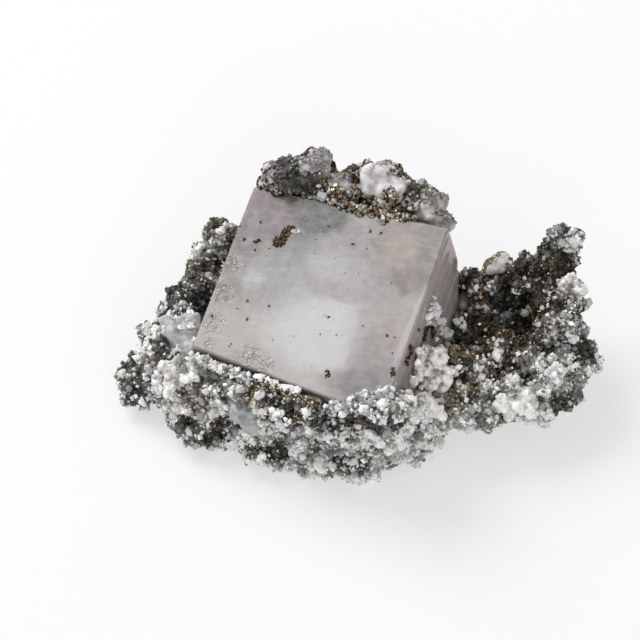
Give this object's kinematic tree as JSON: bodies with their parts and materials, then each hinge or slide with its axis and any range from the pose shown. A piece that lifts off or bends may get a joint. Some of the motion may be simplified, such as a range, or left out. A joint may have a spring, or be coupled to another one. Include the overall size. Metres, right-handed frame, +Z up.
{
  "type": "fluorite cube specimen",
  "caption": "Large translucent lavender-grey fluorite cube with small fluorite and calcite crystals on a rough quartz and pyrite matrix, resting on the rock's flat underside.",
  "frame": {"origin": "under the middle of the specimen's bounding box, on the surface that it rests on", "axes": "+X to the specimen's right, along its longest side; +Y to its back, away from the viewer of its best side; +Z up, along its shortest side"},
  "size_m": [0.1012, 0.064, 0.0392],
  "materials": {
    "rock": "rough, sparkling with small pyrite and quartz crystals",
    "fluorite": "translucent, satin, pale lavender-grey",
    "calcite": "white, satin"
  },
  "bodies": {
    "root": {"matrix": "rock", "fluorite_cube": "fluorite", "rear_fluorite_left": "fluorite", "rear_fluorite_middle": "fluorite", "rear_fluorite_right": "fluorite", "corner_fluorite": "fluorite", "side_fluorite": "fluorite", "arm_fluorite": "fluorite", "left_calcite": "calcite", "left_low_calcite": "calcite", "front_calcite": "calcite", "right_calcite": "calcite", "near_calcite": "calcite", "arm_calcite": "calcite", "horn_calcite": "calcite"}
  },
  "joints": []
}
